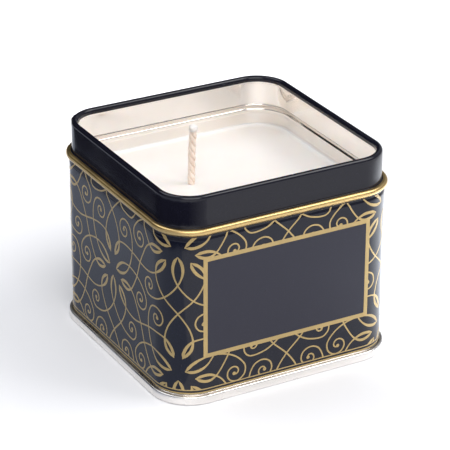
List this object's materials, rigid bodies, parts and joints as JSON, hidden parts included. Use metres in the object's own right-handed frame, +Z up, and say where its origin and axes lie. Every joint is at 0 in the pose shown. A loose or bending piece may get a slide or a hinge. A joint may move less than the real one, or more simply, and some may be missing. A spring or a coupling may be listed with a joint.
{
  "type": "candle tin",
  "caption": "Square printed candle tin with rounded corners, beaded slip-lid neck and curled rim, filled with wax round a cotton wick.",
  "frame": {"origin": "middle of the footprint, on the surface that the tin stands on", "axes": "+Z up out of the mouth; -Y out of the wall with the blank panel; +X to the right when that wall is looked at"},
  "size_m": [0.0772, 0.0772, 0.0674],
  "materials": {
    "printed_tinplate": "black stoving varnish with a gold scroll print outside, bare bright tinplate inside",
    "bare_tinplate": "bright tinplate with faint rolling lines",
    "sealing_rubber": "grey lining compound, matte",
    "candle_wax": "cream container wax, soft satin and slightly translucent",
    "wick_cotton": "wax-primed natural cotton",
    "core_thread": "stiff cotton thread",
    "sustainer_metal": "stamped tinned steel",
    "foam_pad": "white adhesive foam"
  },
  "bodies": {
    "root": {"tin_body": "printed_tinplate", "tin_base": "bare_tinplate", "seam_compound": "sealing_rubber", "wax_fill": "candle_wax", "wick_strand_1": "wick_cotton", "wick_strand_2": "wick_cotton", "wick_strand_3": "wick_cotton", "wick_core": "core_thread", "wick_tip_wax": "candle_wax", "wick_sustainer": "sustainer_metal", "wick_sticker": "foam_pad"}
  },
  "joints": []
}
